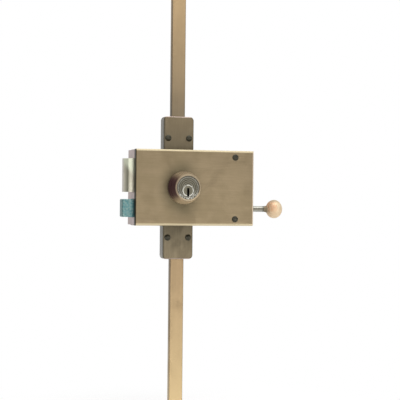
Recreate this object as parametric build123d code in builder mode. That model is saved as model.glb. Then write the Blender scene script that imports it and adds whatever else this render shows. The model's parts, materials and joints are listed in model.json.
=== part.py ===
from build123d import *
import math
import os

# Surface-mounted multipoint lock. Millimetres, +Z up, origin on the door's face
# at the cylinder's axis. +X points to the pull knob and +Y into the door, so a
# depth in front of the door is a distance along -Y.

# Case and its sheet
case_width = 147.0
case_height = 90.0
case_depth = 34.0
cylinder_inset = 59.0
sheet = 1.8
bend_radius = 2.5
end_edge_round = 0.6
lip_depth = 6.0
base_thickness = 2.5
faceplate_thickness = 3.0
faceplate_trim = 0.8
seat_gap = 0.2
edge_gap = 0.3

# Cylinder, its plug and its collar
cylinder_radius = 14.0
cylinder_face = 51.4
plug_radius = 7.0
plug_drop = 3.5
running_gap = 0.05
collar_base_radius = 19.5
collar_front_radius = 15.8
collar_front = 52.0
collar_lip = 2.0
collar_round = 0.8
nut_thickness = 4.5
nut_radius = 19.0
nut_sides = 8
face_groove_radius = 12.4
face_groove_width = 0.7
face_groove_depth = 0.5
outer_bore_radius = 12.0

# Keyway and pins
keyway_width = 2.4
keyway_top = 2.4
keyway_bottom = 5.9
keyway_ward = 0.7
keyway_from_rear = 3.5
pin_radius = 1.15
pin_pitch = 4.0
first_pin_depth = 28.0
key_pin_lengths = (5.2, 6.4, 4.6, 5.9, 5.0)
key_pin_drop = 0.03
driver_pin_length = 3.4
pin_spring_wire = 0.2
pin_spring_turns = 6
chamber_plug_length = 1.4
chamber_plug_inset = 0.9
shear_gap = 0.1

# Gears and racks
module = 1.0
pressure_angle = 25.0
driver_teeth = 12
wheel_teeth = 30
pinion_teeth = 12
rack_teeth = 8
backlash = 0.14
gear_face = 3.5
flank_steps = 4
hub_radius = 3.6
shoulder_radius = 4.6
pivot_radius = 2.4
tail_square = 5.0
tail_overhang = 1.0
driver_hub_radius = 4.7
driver_hub_length = 2.5
cross_pin_radius = 0.8
tail_slot_width = 1.6
tail_slot_height = 4.4
tail_slot_depth = 4.0

# Rods, racks and their guides
rod_width = 17.0
rod_thickness = 6.5
rod_play = 0.4
upper_rod_top = 245.0
lower_rod_bottom = 275.0
rod_tip_chamfer = 2.5
rod_edge_round = 0.8
rack_thickness = 3.1
rack_width = 8.75
rack_end = 3.0
rack_gap = 0.6
lap_start_gap = 2.5
lap_length = 19.5
lap_jog = 4.5
lap_relief = 0.2
rivet_radius = 1.6
rivet_shares = (0.25, 0.75)
guide_length = 40.5
guide_sheet = 2.0
guide_play = 0.6
guide_corner = 5.0
guide_edge_round = 1.2
guide_screw_from_case = 14.5
guide_post_radius = 3.3
guide_post_to_rod = 1.2
guide_post_gap = 0.7

# Bolts
bolt_depth = 12.0
bolt_play = 0.2
deadbolt_share = 0.2333
deadbolt_reach = 14.0
deadbolt_inside = 9.0
deadbolt_edge = 1.0
tail_thickness = 4.0
tail_end_wall = 3.8
tail_lap = 10.0
window_wall = 2.5
bolt_gap = 8.4
latch_share = 0.4378
latch_reach = 11.5
latch_flat = 7.0
latch_tip = 4.0
latch_inside = 22.0
latch_lap = 12.0
latch_edge = 0.8
slide_thickness = 3.0
slide_width = 12.0
slide_over_cylinder = 5.0
leg_from_right = 42.0
lug_thickness = 3.0
lug_size = 12.0

# Pull stem, knob and spring
stem_rise = 2.5
stem_radius = 3.5
stem_spigot_radius = 2.6
spigot_head_radius = 3.9
spigot_head = 1.6
knob_from_case = 31.0
knob_radius = 11.2
knob_half_length = 10.0
knob_end_radius = 12.0
knob_neck = 4.0
knob_neck_radius = 5.2
knob_socket = 9.0
bush_flange = 1.5
bush_wall = 1.4
bush_flange_radius = 6.6
bush_lip = 1.0
spring_wire = 0.5
spring_radius = 4.9
spring_turns = 8

# Screws, posts and pins
screw_head_radius = 3.75
screw_head_height = 2.0
screw_rim = 0.6
screw_shank_radius = 1.9
screw_length = 9.0
slot_width = 1.1
slot_depth = 1.0
cover_screw_from_right = 23.4
cover_screw_from_edge = 8.0
post_radius = 3.6
post_spigot_radius = 2.4
door_screw_radius = 2.6
door_screw_from_side = 12.0
door_screw_from_edge = 9.0
faceplate_rivet_spacing = 13.0
guide_pin_radius = 2.0
guide_pin_play = 0.1
guide_pin_x = 28.0
pin_head_radius = 3.4
pin_head = 1.0
pin_spigot_radius = 1.5
circlip_thickness = 0.8
circlip_width = 2.0
groove_depth = 0.4

# Gaps between the layers of the works, from the door outwards
pinion_gap = 0.1
wheel_gap = 0.8
tail_gap = 1.3
slide_gap = 1.5

# Places that follow from the sizes
case_left = -cylinder_inset
case_right = case_left + case_width
half_height = case_height / 2
inner_half_height = half_height - sheet
inner_right = case_right - sheet
inner_front = case_depth - sheet
faceplate_depth = case_depth - lip_depth - edge_gap
faceplate_back = case_left + faceplate_thickness
flange_back = faceplate_back + base_thickness

guide_screw_spacing = rod_width + 2 * (guide_post_to_rod + guide_post_radius)
guide_width = guide_screw_spacing + 2 * (guide_post_radius + guide_post_gap + guide_sheet)
rod_back = base_thickness + rod_play
rack_front = rod_back + rack_thickness
rod_front = rod_back + rod_thickness
guide_inner_front = rod_front + guide_play
guide_depth = guide_inner_front + guide_sheet
wheel_back = rod_front + wheel_gap
wheel_front = wheel_back + gear_face
tail_back = wheel_front + tail_gap
tail_front = tail_back + tail_thickness
bolt_front = tail_back + bolt_depth
slide_back = tail_front + slide_gap
slide_front = slide_back + slide_thickness
cylinder_rear = slide_back

tooth_pitch = math.pi * module
tip_height = module
root_depth = 1.25 * module
driver_radius = module * driver_teeth / 2
wheel_radius = module * wheel_teeth / 2
pinion_radius = module * pinion_teeth / 2
key_z = -plug_drop
wheel_z = key_z - driver_radius - wheel_radius
bolt_travel = 2 * math.pi * driver_teeth / wheel_teeth * pinion_radius

deadbolt_left = case_left - deadbolt_reach
deadbolt_right = flange_back + deadbolt_inside
deadbolt_height = deadbolt_share * case_height
deadbolt_top = wheel_z + deadbolt_height / 2
deadbolt_bottom = wheel_z - deadbolt_height / 2
latch_left = case_left - latch_reach
latch_right = flange_back + latch_inside
latch_height = latch_share * case_height
latch_bottom = deadbolt_top + bolt_gap
latch_middle = latch_bottom + latch_height / 2
latch_top = latch_bottom + latch_height
flange_half_height = inner_half_height - edge_gap
faceplate_rivet_zs = ((deadbolt_bottom - flange_half_height) / 2, (latch_top + flange_half_height) / 2)

slide_z = cylinder_radius + slide_over_cylinder + slide_width / 2
leg_left = case_right - leg_from_right
leg_right = leg_left + slide_width
stem_depth = slide_back + stem_rise
stem_z = wheel_z
knob_x = case_right + knob_from_case
bush_inner_end = inner_right - bush_flange

guide_screw_z = half_height + guide_screw_from_case
lap_start = half_height + lap_start_gap
cover_screw_x = case_right - cover_screw_from_right
cover_screw_z = half_height - cover_screw_from_edge
door_screw_left = flange_back + door_screw_from_side
door_screw_right = inner_right - door_screw_from_side
door_screw_z = inner_half_height - door_screw_from_edge

os.makedirs("parts", exist_ok=True)


def save(piece, name):
    """Label a finished piece and write its STEP file."""
    piece.part.label = name
    export_step(piece.part, f"parts/{name}.step")


def involute(angle):
    """Roll angle less pressure angle at a point of an involute."""
    return math.tan(angle) - angle


def gear_outline(teeth, first_angle):
    """Corners of a spur gear, its first tooth pointing along first_angle."""
    pitch_radius = module * teeth / 2
    slope = math.radians(pressure_angle)
    base_radius = pitch_radius * math.cos(slope)
    root_radius = pitch_radius - root_depth
    half_tooth = math.pi / (2 * teeth) - backlash / (4 * pitch_radius)
    start = max(base_radius, root_radius)
    flank = [(root_radius, half_tooth + involute(slope))]
    for step in range(flank_steps + 1):
        radius = start + (pitch_radius + tip_height - start) * step / flank_steps
        turn = math.acos(min(1, base_radius / radius))
        flank.append((radius, half_tooth + involute(slope) - involute(turn)))
    if root_radius >= base_radius:
        flank.pop(0)
    corners = []
    for tooth in range(teeth):
        middle = math.radians(first_angle) + 2 * math.pi * tooth / teeth
        for radius, half in flank:
            corners.append((radius * math.cos(middle - half), radius * math.sin(middle - half)))
        for radius, half in reversed(flank):
            corners.append((radius * math.cos(middle + half), radius * math.sin(middle + half)))
    return corners


def rack_tooth():
    """Corners of one rack tooth that points along +X, its root line on X = 0."""
    slope = math.tan(math.radians(pressure_angle))
    half = tooth_pitch / 4 - backlash / 4
    root = half + root_depth * slope
    tip = half - tip_height * slope
    height = root_depth + tip_height
    return [(0, -root), (height, -tip), (height, tip), (0, root)]


def coil_path(radius, pitch, turns, place):
    """Quarter-turn biarcs of a helix about the Z axis of place, with their start tangents."""
    rise = pitch / (2 * math.pi)

    def point(angle):
        around = place.x_dir * math.cos(angle) + place.y_dir * math.sin(angle)
        return place.origin + around * radius + place.z_dir * (rise * angle)

    def tangent(angle):
        around = place.y_dir * math.cos(angle) - place.x_dir * math.sin(angle)
        return (around * radius + place.z_dir * rise).normalized()

    arcs = []
    for quarter in range(4 * turns):
        first = quarter * math.pi / 2
        last = first + math.pi / 2
        chord = point(last) - point(first)
        both = tangent(first) + tangent(last)
        spread = 2 * (1 - tangent(first).dot(tangent(last)))
        along = chord.dot(both)
        reach = (math.sqrt(along * along + spread * chord.dot(chord)) - along) / spread
        near = point(first) + tangent(first) * reach
        far = point(last) - tangent(last) * reach
        joint = (near + far) * 0.5
        arcs.append((point(first), joint, tangent(first)))
        arcs.append((joint, point(last), (far - near).normalized()))
    return arcs


def coil(radius, wire, length, turns, place):
    """One helical spring whose axis is the Z axis of the plane called place."""
    pitch = (length - 2 * wire) / turns
    arcs = coil_path(radius, pitch, turns, place.offset(wire))
    with BuildPart() as spring:
        with BuildLine() as path:
            for start, end, direction in arcs:
                TangentArc(start, end, tangent=direction)
        with BuildSketch(Plane(origin=path.wire() @ 0, z_dir=path.wire() % 0)):
            Circle(wire)
        sweep(path=path.wire())
    print("coil: least gap between turns", round(pitch - 2 * wire, 2))
    return spring.part


def bolt_notches(front):
    """Notches, open to the front, that the two bolts pass through. Sketched on a YZ plane."""
    back = tail_back - bolt_play
    for middle, height in ((wheel_z, deadbolt_height), (latch_middle, latch_height)):
        with Locations((-(back + front) / 2, middle)):
            Rectangle(front - back, height + 2 * bolt_play, mode=Mode.SUBTRACT)


faceplate_rivet_places = []
for rivet_z in faceplate_rivet_zs:
    for hand in (-1, 1):
        faceplate_rivet_places.append((-faceplate_depth / 2 + hand * faceplate_rivet_spacing / 2, rivet_z))

# Base plate: tabs under the rod guides and a flange behind the faceplate
with BuildPart() as base_plate:
    plate_right = inner_right - edge_gap
    plate_height = 2 * flange_half_height
    tab_width = guide_width - 2 * guide_sheet - 2 * edge_gap
    tab_reach = half_height + edge_gap + guide_length - guide_sheet - edge_gap
    with BuildSketch(Plane.XZ):
        with Locations(((faceplate_back + plate_right) / 2, 0)):
            Rectangle(plate_right - faceplate_back, plate_height)
        RectangleRounded(tab_width, 2 * tab_reach, guide_corner - guide_sheet)
        Circle(outer_bore_radius, mode=Mode.SUBTRACT)
        for side in (-1, 1):
            with Locations((door_screw_left, side * door_screw_z), (door_screw_right, side * door_screw_z)):
                Circle(door_screw_radius, mode=Mode.SUBTRACT)
            with Locations((cover_screw_x, side * cover_screw_z)):
                Circle(post_spigot_radius, mode=Mode.SUBTRACT)
            with Locations(*[(hand * guide_screw_spacing / 2, side * guide_screw_z) for hand in (-1, 1)]):
                Circle(post_spigot_radius, mode=Mode.SUBTRACT)
        with Locations((0, wheel_z)):
            Circle(pivot_radius, mode=Mode.SUBTRACT)
        with Locations((guide_pin_x, wheel_z), (guide_pin_x, slide_z)):
            Circle(pin_spigot_radius, mode=Mode.SUBTRACT)
    extrude(amount=base_thickness)
    with BuildSketch(Plane.YZ.offset(faceplate_back)):
        with Locations((-faceplate_depth / 2, 0)):
            Rectangle(faceplate_depth, plate_height)
        bolt_notches(faceplate_depth)
        with Locations(*faceplate_rivet_places):
            Circle(rivet_radius, mode=Mode.SUBTRACT)
    extrude(amount=base_thickness)
save(base_plate, "base_plate")

# Faceplate: the thick strip that the bolts come out of
with BuildPart() as faceplate:
    with BuildSketch(Plane.YZ.offset(case_left)):
        with Locations((-(seat_gap + faceplate_depth) / 2, 0)):
            Rectangle(faceplate_depth - seat_gap, case_height - 2 * faceplate_trim)
        bolt_notches(faceplate_depth)
    extrude(amount=faceplate_thickness)
    outer_face = faceplate.faces().sort_by(Axis.X)[0]
    chamfer(outer_face.outer_wire().edges(), edge_gap)
    with BuildSketch(Plane.YZ.offset(case_left)):
        with Locations(*faceplate_rivet_places):
            Circle(rivet_radius)
    extrude(amount=faceplate_thickness, mode=Mode.SUBTRACT)
save(faceplate, "faceplate")

# Faceplate rivets, flush at both ends
with BuildPart() as faceplate_rivets:
    with BuildSketch(Plane.YZ.offset(case_left)):
        with Locations(*faceplate_rivet_places):
            Circle(rivet_radius)
    extrude(amount=faceplate_thickness + base_thickness)
save(faceplate_rivets, "faceplate_rivets")

# Cover: sheet folded along its top and bottom, with closed ends, open to the door.
# Its left end is a short lip in front of the faceplate.
with BuildPart() as cover:
    with BuildSketch(Plane.YZ.offset(case_left)):
        with Locations((-(seat_gap + case_depth) / 2, 0)):
            outside = Rectangle(case_depth - seat_gap, case_height)
        fillet(outside.vertices().sort_by(Axis.Y)[:2], bend_radius)
    extrude(amount=case_width)
    for end_face in (cover.faces().sort_by(Axis.X)[0], cover.faces().sort_by(Axis.X)[-1]):
        fillet(end_face.edges() - end_face.edges().sort_by(Axis.Y)[-1:], end_edge_round)
    with BuildSketch(Plane.YZ.offset(case_left + sheet)):
        with Locations((-inner_front / 2, 0)):
            inside = Rectangle(inner_front, 2 * inner_half_height)
        fillet(inside.vertices().sort_by(Axis.Y)[:2], bend_radius - sheet)
    extrude(amount=case_width - 2 * sheet, mode=Mode.SUBTRACT)
    with BuildSketch(Plane.XZ):
        with Locations((case_left, 0)):
            Rectangle(2 * (faceplate_thickness + edge_gap), 2 * case_height)
    extrude(amount=case_depth - lip_depth, mode=Mode.SUBTRACT)
    with BuildSketch(Plane.XZ):
        Rectangle(guide_width - 2 * guide_sheet, 2 * case_height)
    extrude(amount=guide_inner_front, mode=Mode.SUBTRACT)
    with BuildSketch(Plane.XZ.offset(inner_front)):
        Circle(cylinder_radius)
        with Locations((cover_screw_x, cover_screw_z), (cover_screw_x, -cover_screw_z)):
            Circle(screw_shank_radius)
    extrude(amount=sheet, mode=Mode.SUBTRACT)
    with BuildSketch(Plane.YZ.offset(inner_right)):
        with Locations((-stem_depth, stem_z)):
            Circle(stem_radius + running_gap + bush_wall)
    extrude(amount=sheet, mode=Mode.SUBTRACT)
save(cover, "cover")

# Posts that the cover screws into
with BuildPart() as cover_posts:
    for side in (-1, 1):
        place = (cover_screw_x, side * cover_screw_z)
        with BuildSketch(Plane.XZ):
            with Locations(place):
                Circle(post_spigot_radius)
        extrude(amount=base_thickness)
        with BuildSketch(Plane.XZ.offset(base_thickness)):
            with Locations(place):
                Circle(post_radius)
        extrude(amount=inner_front - base_thickness)
        with BuildSketch(Plane.XZ.offset(inner_front - screw_length)):
            with Locations(place):
                Circle(screw_shank_radius)
        extrude(amount=screw_length, mode=Mode.SUBTRACT)
save(cover_posts, "cover_posts")


def slotted_screws(places, seat, reach):
    """Domed, slotted screws whose heads seat at one depth and whose shanks go back by reach."""
    with BuildPart() as screws:
        for x, z in places:
            with BuildSketch(Plane(origin=(x, 0, z), z_dir=(0, 0, 1))) as half:
                with BuildLine():
                    Line((0, -seat + reach), (screw_shank_radius, -seat + reach))
                    Line((screw_shank_radius, -seat + reach), (screw_shank_radius, -seat))
                    Line((screw_shank_radius, -seat), (screw_head_radius, -seat))
                    Line((screw_head_radius, -seat), (screw_head_radius, -seat - screw_rim))
                    crown = (0, -seat - screw_head_height)
                    rim = (screw_head_radius, -seat - screw_rim)
                    TangentArc(crown, rim, tangent=(1, 0))
                    Line(crown, (0, -seat + reach))
                make_face()
            revolve(axis=Axis((x, 0, z), (0, 1, 0)))
            with BuildSketch(Plane.XZ.offset(seat + screw_head_height - slot_depth)):
                with Locations((x, z)):
                    Rectangle(2 * screw_head_radius, slot_width)
            extrude(amount=slot_depth, mode=Mode.SUBTRACT)
    return screws


cover_places = [(cover_screw_x, side * cover_screw_z) for side in (-1, 1)]
cover_screws = slotted_screws(cover_places, case_depth, screw_length)
save(cover_screws, "cover_screws")


def rod_guide(side):
    """Folded cap over one rod: open to the door and to the case, slotted for the rod."""
    middle = side * (half_height + guide_length / 2)
    outer_end = side * (half_height + guide_length)
    with BuildPart() as guide:
        with BuildSketch(Plane.XZ.offset(seat_gap)):
            with Locations((0, middle)):
                Rectangle(guide_width, guide_length)
        extrude(amount=guide_depth - seat_gap)
        ends = guide.edges().filter_by(Axis.Y).sort_by(Axis.Z)
        fillet(ends[-2:] if side > 0 else ends[:2], guide_corner)
        back = guide.faces().sort_by(Axis.Y)[-1]
        inner_end = guide.faces().filter_by(Axis.Z).sort_by(Axis.Z)[0 if side > 0 else -1]
        offset(amount=-guide_sheet, openings=[back, inner_end])
        front = guide.faces().sort_by(Axis.Y)[0]
        inner_edge = front.edges().sort_by(Axis.Z)[0 if side > 0 else -1]
        fillet(front.edges() - [inner_edge], guide_edge_round)
        with BuildSketch(Plane.XZ):
            with Locations((0, outer_end)):
                Rectangle(rod_width + 2 * rod_play, 4 * guide_sheet)
        extrude(amount=guide_inner_front, mode=Mode.SUBTRACT)
        with BuildSketch(Plane.XZ.offset(guide_inner_front)):
            with Locations(*[(hand * guide_screw_spacing / 2, side * guide_screw_z) for hand in (-1, 1)]):
                Circle(screw_shank_radius)
        extrude(amount=guide_sheet, mode=Mode.SUBTRACT)
    return guide


upper_rod_guide = rod_guide(1)
save(upper_rod_guide, "upper_rod_guide")
lower_rod_guide = rod_guide(-1)
save(lower_rod_guide, "lower_rod_guide")

# Posts between the base plate's tabs and the rod guides
guide_places = []
for side in (-1, 1):
    for hand in (-1, 1):
        guide_places.append((hand * guide_screw_spacing / 2, side * guide_screw_z))
with BuildPart() as guide_posts:
    with BuildSketch(Plane.XZ):
        with Locations(*guide_places):
            Circle(post_spigot_radius)
            Circle(screw_shank_radius, mode=Mode.SUBTRACT)
    extrude(amount=base_thickness)
    with BuildSketch(Plane.XZ.offset(base_thickness)):
        with Locations(*guide_places):
            Circle(guide_post_radius)
            Circle(screw_shank_radius, mode=Mode.SUBTRACT)
    extrude(amount=guide_inner_front - base_thickness)
save(guide_posts, "guide_posts")

guide_screws = slotted_screws(guide_places, guide_depth, guide_depth - base_thickness)
save(guide_screws, "guide_screws")


def rod(side, end):
    """One flat locking rod, half its thickness where it laps its rack."""
    with BuildPart() as bar:
        with BuildSketch(Plane.XZ.offset(rod_back)):
            with Locations((0, side * (lap_start + end) / 2)):
                Rectangle(rod_width, end - lap_start)
        extrude(amount=rod_thickness)
        outer = bar.faces().sort_by(Axis.Z)[-1 if side > 0 else 0]
        chamfer(outer.edges(), rod_tip_chamfer)
        with BuildSketch(Plane.XZ.offset(rod_back)):
            with Locations((0, side * (lap_start + lap_length / 2))):
                Rectangle(rod_width, lap_length)
        extrude(amount=rack_thickness, mode=Mode.SUBTRACT)
        passing_x = pinion_radius - tip_height - rack_gap
        relief_middle = (side * (passing_x + rod_width / 2) / 2, side * (lap_start + lap_length / 2))
        with BuildSketch(Plane.XZ.offset(rack_front)):
            with Locations(relief_middle):
                Rectangle(rod_width / 2 - passing_x, lap_length)
        extrude(amount=lap_relief, mode=Mode.SUBTRACT)
        with BuildSketch(Plane.XZ.offset(rack_front)):
            with Locations(*rod_rivet_places(side)):
                Circle(rivet_radius)
        extrude(amount=rod_thickness, mode=Mode.SUBTRACT)
        long_edges = bar.edges().filter_by(Axis.Z).group_by(Axis.Y)[0]
        fillet(long_edges, rod_edge_round)
    return bar


def rod_rivet_places(side):
    """Centres of the two rivets that join a rod to its rack."""
    return [(0, side * (lap_start + lap_length * share)) for share in rivet_shares]


def rack(side):
    """Rack plate beside the key's path, its teeth facing the pinion, lapped to its rod."""
    root_x = -side * (pinion_radius + root_depth)
    start = wheel_z - side * rack_end
    end = side * (lap_start + lap_jog)
    outer_x = root_x - side * rack_width
    near_x = -side * rod_width / 2
    far_x = side * (pinion_radius - tip_height - rack_gap)
    with BuildPart() as plate:
        with BuildSketch(Plane.XZ.offset(rod_back)):
            with Locations(((root_x + outer_x) / 2, (start + end) / 2)):
                Rectangle(rack_width, abs(end - start))
            with Locations(((near_x + far_x) / 2, side * (lap_start + lap_length / 2))):
                Rectangle(abs(near_x - far_x), lap_length)
            with Locations(((outer_x + far_x) / 2, side * (lap_start + lap_jog / 2))):
                Rectangle(abs(outer_x - far_x), lap_jog)
            for tooth in range(-1, rack_teeth - 1):
                tooth_z = wheel_z + side * (tooth + 0.5) * tooth_pitch
                with Locations(Location((root_x, tooth_z), 0 if side > 0 else 180)):
                    Polygon(*rack_tooth(), align=None)
            with Locations(*rod_rivet_places(side)):
                Circle(rivet_radius, mode=Mode.SUBTRACT)
        extrude(amount=rack_thickness)
    return plate


def rod_rivets(side):
    """Two flush rivets through a rod and its rack."""
    with BuildPart() as rivets:
        with BuildSketch(Plane.XZ.offset(rod_back)):
            with Locations(*rod_rivet_places(side)):
                Circle(rivet_radius)
        extrude(amount=rod_thickness)
    return rivets


for rod_name, rod_side, rod_end in (("upper", 1, upper_rod_top), ("lower", -1, lower_rod_bottom)):
    save(rod(rod_side, rod_end), f"{rod_name}_rod")
    save(rack(rod_side), f"{rod_name}_rack")
    save(rod_rivets(rod_side), f"{rod_name}_rod_rivets")

# Pivot of the transfer wheel, with a shoulder that lifts the wheel off the base plate
pivot_end = tail_front + 2 * circlip_thickness
with BuildPart() as wheel_pivot:
    with BuildSketch(Plane.XZ):
        with Locations((0, wheel_z)):
            Circle(pivot_radius)
    extrude(amount=pivot_end)
    with BuildSketch(Plane.XZ.offset(base_thickness)):
        with Locations((0, wheel_z)):
            Circle(hub_radius)
    extrude(amount=rod_play)
    with BuildSketch(Plane.XZ.offset(tail_front)):
        with Locations((0, wheel_z)):
            Circle(pivot_radius)
            Circle(pivot_radius - groove_depth, mode=Mode.SUBTRACT)
    extrude(amount=circlip_thickness, mode=Mode.SUBTRACT)
save(wheel_pivot, "wheel_pivot")


def circlip(z, inner_radius, depth):
    """Open spring ring in a shaft's groove."""
    with BuildPart() as ring:
        with BuildSketch(Plane.XZ.offset(depth)):
            with Locations((0, z)):
                Circle(inner_radius + circlip_width)
                Circle(inner_radius, mode=Mode.SUBTRACT)
            with Locations((0, z - inner_radius)):
                Rectangle(inner_radius, 2 * circlip_width, mode=Mode.SUBTRACT)
        extrude(amount=circlip_thickness)
    return ring


wheel_circlip = circlip(wheel_z, pivot_radius - groove_depth, tail_front)
save(wheel_circlip, "wheel_circlip")

# Transfer wheel: one hub through both pinions, with shoulders between them
pinion_back = rod_back + pinion_gap
pinion_front = rack_front - pinion_gap
bolt_pinion_back = tail_back + pinion_gap
bolt_pinion_front = tail_front - pinion_gap
with BuildPart() as transfer_wheel:
    with BuildSketch(Plane.XZ.offset(wheel_back)):
        with Locations((0, wheel_z)):
            Polygon(*gear_outline(wheel_teeth, 90 + 180 / wheel_teeth), align=None)
    extrude(amount=gear_face)
    with BuildSketch(Plane.XZ.offset(pinion_front)):
        with Locations((0, wheel_z)):
            Circle(shoulder_radius)
    extrude(amount=bolt_pinion_back - pinion_front)
    with BuildSketch(Plane.XZ.offset(pinion_back)):
        with Locations((0, wheel_z)):
            Circle(hub_radius)
    extrude(amount=bolt_pinion_front - pinion_back)
    with BuildSketch(Plane.XZ.offset(pinion_back)):
        with Locations((0, wheel_z)):
            Circle(pivot_radius + running_gap)
    extrude(amount=bolt_pinion_front - pinion_back, mode=Mode.SUBTRACT)
save(transfer_wheel, "transfer_wheel")


def pinion(back, front):
    """Small gear pressed on the transfer wheel's hub."""
    with BuildPart() as gear:
        with BuildSketch(Plane.XZ.offset(back)):
            with Locations((0, wheel_z)):
                Polygon(*gear_outline(pinion_teeth, 0), align=None)
                Circle(hub_radius, mode=Mode.SUBTRACT)
        extrude(amount=front - back)
    return gear


rod_pinion = pinion(pinion_back, pinion_front)
save(rod_pinion, "rod_pinion")
bolt_pinion = pinion(bolt_pinion_back, bolt_pinion_front)
save(bolt_pinion, "bolt_pinion")

# Deadbolt: square block, stepped at the back where its tail is riveted on
deadbolt_lap_left = deadbolt_right - tail_lap
deadbolt_rivet_x = deadbolt_right - tail_lap / 2
deadbolt_rivets_at = [(deadbolt_rivet_x, wheel_z + hand * deadbolt_height / 4) for hand in (-1, 1)]
with BuildPart() as deadbolt_head:
    with BuildSketch(Plane.XZ.offset(tail_back)):
        with Locations(((deadbolt_left + deadbolt_right) / 2, wheel_z)):
            Rectangle(deadbolt_right - deadbolt_left, deadbolt_height)
    extrude(amount=bolt_depth)
    chamfer(deadbolt_head.faces().sort_by(Axis.X)[0].edges(), deadbolt_edge)
    with BuildSketch(Plane.XZ.offset(tail_back)):
        with Locations((deadbolt_right - tail_lap / 2, wheel_z)):
            Rectangle(tail_lap, deadbolt_height)
    extrude(amount=tail_thickness, mode=Mode.SUBTRACT)
    with BuildSketch(Plane.XZ.offset(tail_back)):
        with Locations(*deadbolt_rivets_at):
            Circle(rivet_radius)
    extrude(amount=bolt_depth, mode=Mode.SUBTRACT)
save(deadbolt_head, "deadbolt_head")

# Deadbolt tail: a window with rack teeth along its bottom, and a slot for the guide pin
window_left = -bolt_travel - pinion_radius - 2 * tip_height
window_right = pinion_radius + 2 * tip_height
window_bottom = wheel_z - pinion_radius - root_depth
window_top = deadbolt_top - window_wall
slot_radius = guide_pin_radius + guide_pin_play
tail_right = guide_pin_x + slot_radius + tail_end_wall
with BuildPart() as deadbolt_tail:
    with BuildSketch(Plane.XZ.offset(tail_back)):
        with Locations(((deadbolt_lap_left + tail_right) / 2, wheel_z)):
            Rectangle(tail_right - deadbolt_lap_left, deadbolt_height)
        with Locations(((window_left + window_right) / 2, (window_bottom + window_top) / 2)):
            Rectangle(window_right - window_left, window_top - window_bottom, mode=Mode.SUBTRACT)
        for tooth in range(-1, rack_teeth - 1):
            tooth_x = -(tooth + 0.5) * tooth_pitch
            if tooth_x > window_left and tooth_x < window_right:
                with Locations(Location((tooth_x, window_bottom), 90)):
                    Polygon(*rack_tooth(), align=None)
        with Locations((guide_pin_x - bolt_travel / 2, wheel_z)):
            SlotCenterToCenter(bolt_travel, 2 * slot_radius, mode=Mode.SUBTRACT)
        with Locations(*deadbolt_rivets_at):
            Circle(rivet_radius, mode=Mode.SUBTRACT)
    extrude(amount=tail_thickness)
save(deadbolt_tail, "deadbolt_tail")

with BuildPart() as deadbolt_rivets:
    with BuildSketch(Plane.XZ.offset(tail_back)):
        with Locations(*deadbolt_rivets_at):
            Circle(rivet_radius)
    extrude(amount=bolt_depth)
save(deadbolt_rivets, "deadbolt_rivets")


def headed_pin(z, head_back):
    """Pin riveted in the base plate, with a head that keeps a slide on it."""
    with BuildPart() as pin:
        with BuildSketch(Plane.XZ):
            with Locations((guide_pin_x, z)):
                Circle(pin_spigot_radius)
        extrude(amount=base_thickness)
        with BuildSketch(Plane.XZ.offset(base_thickness)):
            with Locations((guide_pin_x, z)):
                Circle(guide_pin_radius)
        extrude(amount=head_back - base_thickness)
        with BuildSketch(Plane.XZ.offset(head_back)):
            with Locations((guide_pin_x, z)):
                Circle(pin_head_radius)
        extrude(amount=pin_head)
        chamfer(pin.faces().sort_by(Axis.Y)[0].edges(), edge_gap)
    return pin


bolt_guide_pin = headed_pin(wheel_z, tail_front + edge_gap)
save(bolt_guide_pin, "bolt_guide_pin")
latch_guide_pin = headed_pin(slide_z, slide_front + edge_gap)
save(latch_guide_pin, "latch_guide_pin")

# Latch: bevelled on the room side, stepped at the front where its slide lies
latch_lap_left = latch_right - latch_lap
latch_rivets_at = [(latch_right - latch_lap * share, slide_z) for share in rivet_shares]
with BuildPart() as latch_bolt:
    with BuildSketch(Plane.XY.offset(latch_bottom)):
        with BuildLine():
            Polyline(
                (latch_right, -tail_back),
                (latch_right, -slide_back),
                (latch_lap_left, -slide_back),
                (latch_lap_left, -bolt_front),
                (case_left - latch_flat, -bolt_front),
                (latch_left, -tail_back - latch_tip),
                (latch_left, -tail_back),
                close=True,
            )
        make_face()
    extrude(amount=latch_height)
    chamfer(latch_bolt.faces().sort_by(Axis.X)[0].edges().filter_by(Axis.Z), latch_edge)
    with BuildSketch(Plane.XZ.offset(tail_back)):
        with Locations(*latch_rivets_at):
            Circle(rivet_radius)
    extrude(amount=bolt_depth, mode=Mode.SUBTRACT)
save(latch_bolt, "latch_bolt")

# Latch slide: an arm over the cylinder, a leg down past it and a lug for the pull stem
leg_bottom = stem_z - lug_size / 2
arm_top = slide_z + slide_width / 2
with BuildPart() as latch_slide:
    with BuildSketch(Plane.XZ.offset(slide_back)):
        with Locations(((latch_lap_left + leg_right) / 2, slide_z)):
            Rectangle(leg_right - latch_lap_left, slide_width)
        with Locations(((leg_left + leg_right) / 2, (leg_bottom + arm_top) / 2)):
            Rectangle(slide_width, arm_top - leg_bottom)
        with Locations((guide_pin_x - latch_reach / 2, slide_z)):
            SlotCenterToCenter(latch_reach, 2 * slot_radius, mode=Mode.SUBTRACT)
        with Locations(*latch_rivets_at):
            Circle(rivet_radius, mode=Mode.SUBTRACT)
    extrude(amount=slide_thickness)
    with BuildSketch(Plane.YZ.offset(leg_right - lug_thickness)):
        with Locations((-stem_depth, stem_z)):
            Rectangle(lug_size, lug_size)
    extrude(amount=lug_thickness)
    with BuildSketch(Plane.YZ.offset(leg_right - lug_thickness - spigot_head)):
        with Locations((-stem_depth, stem_z)):
            Circle(spigot_head_radius)
    extrude(amount=spigot_head, mode=Mode.SUBTRACT)
    with BuildSketch(Plane.YZ.offset(leg_right - lug_thickness)):
        with Locations((-stem_depth, stem_z)):
            Circle(stem_spigot_radius)
    extrude(amount=lug_thickness, mode=Mode.SUBTRACT)
save(latch_slide, "latch_slide")

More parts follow.
